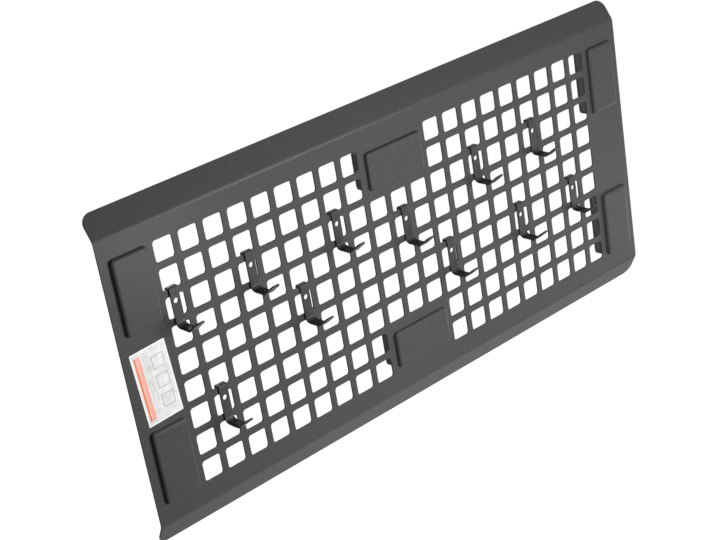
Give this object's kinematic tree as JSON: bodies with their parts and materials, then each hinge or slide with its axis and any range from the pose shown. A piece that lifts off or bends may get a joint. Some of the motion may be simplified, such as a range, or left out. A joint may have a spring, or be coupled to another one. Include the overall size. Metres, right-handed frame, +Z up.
{
  "type": "magnetic tool holder",
  "caption": "Perforated steel panel that clings to steel by covered block magnets behind pressed pads, with loose bent-strip hooks hung over the bars of its square grid.",
  "frame": {"origin": "on the wall's surface, behind the panel's middle: the plane of the six magnet covers' back faces", "axes": "+X to the right along the panel's length as seen from the front, +Y into the wall, +Z up"},
  "size_m": [0.4968, 0.0374, 0.2368],
  "materials": {
    "coated_steel": "fine-texture dark grey powder coat",
    "foam_tape": "matte",
    "ferrite": "dull, sintered",
    "cover_rubber": "matte",
    "label_film": "white film, satin"
  },
  "bodies": {
    "holder": {"panel": "coated_steel", "tape_top_left": "foam_tape", "tape_top_middle": "foam_tape", "tape_top_right": "foam_tape", "tape_bottom_left": "foam_tape", "tape_bottom_middle": "foam_tape", "tape_bottom_right": "foam_tape", "magnet_top_left": "ferrite", "magnet_top_middle": "ferrite", "magnet_top_right": "ferrite", "magnet_bottom_left": "ferrite", "magnet_bottom_middle": "ferrite", "magnet_bottom_right": "ferrite", "cover_top_left": "cover_rubber", "cover_top_middle": "cover_rubber", "cover_top_right": "cover_rubber", "cover_bottom_left": "cover_rubber", "cover_bottom_middle": "cover_rubber", "cover_bottom_right": "cover_rubber", "label": "label_film"},
    "hook_01": {"hook_01": "coated_steel"},
    "hook_02": {"hook_02": "coated_steel"},
    "hook_03": {"hook_03": "coated_steel"},
    "hook_04": {"hook_04": "coated_steel"},
    "hook_05": {"hook_05": "coated_steel"},
    "hook_06": {"hook_06": "coated_steel"},
    "hook_07": {"hook_07": "coated_steel"},
    "hook_08": {"hook_08": "coated_steel"},
    "hook_09": {"hook_09": "coated_steel"},
    "hook_10": {"hook_10": "coated_steel"},
    "hook_11": {"hook_11": "coated_steel"}
  },
  "joints": [
    {"name": "hook_01_lift", "type": "slide", "parent": "holder", "child": "hook_01", "axis": [0, 0, 1], "range_m": [0, 0.0134]},
    {"name": "hook_02_lift", "type": "slide", "parent": "holder", "child": "hook_02", "axis": [0, 0, 1], "range_m": [0, 0.0133]},
    {"name": "hook_03_lift", "type": "slide", "parent": "holder", "child": "hook_03", "axis": [0, 0, 1], "range_m": [0, 0.0134]},
    {"name": "hook_04_lift", "type": "slide", "parent": "holder", "child": "hook_04", "axis": [0, 0, 1], "range_m": [0, 0.0134]},
    {"name": "hook_05_lift", "type": "slide", "parent": "holder", "child": "hook_05", "axis": [0, 0, 1], "range_m": [0, 0.0132]},
    {"name": "hook_06_lift", "type": "slide", "parent": "holder", "child": "hook_06", "axis": [0, 0, 1], "range_m": [0, 0.0129]},
    {"name": "hook_07_lift", "type": "slide", "parent": "holder", "child": "hook_07", "axis": [0, 0, 1], "range_m": [0, 0.0134]},
    {"name": "hook_08_lift", "type": "slide", "parent": "holder", "child": "hook_08", "axis": [0, 0, 1], "range_m": [0, 0.0134]},
    {"name": "hook_09_lift", "type": "slide", "parent": "holder", "child": "hook_09", "axis": [0, 0, 1], "range_m": [0, 0.0134]},
    {"name": "hook_10_lift", "type": "slide", "parent": "holder", "child": "hook_10", "axis": [0, 0, 1], "range_m": [0, 0.0134]},
    {"name": "hook_11_lift", "type": "slide", "parent": "holder", "child": "hook_11", "axis": [0, 0, 1], "range_m": [0, 0.0134]}
  ]
}
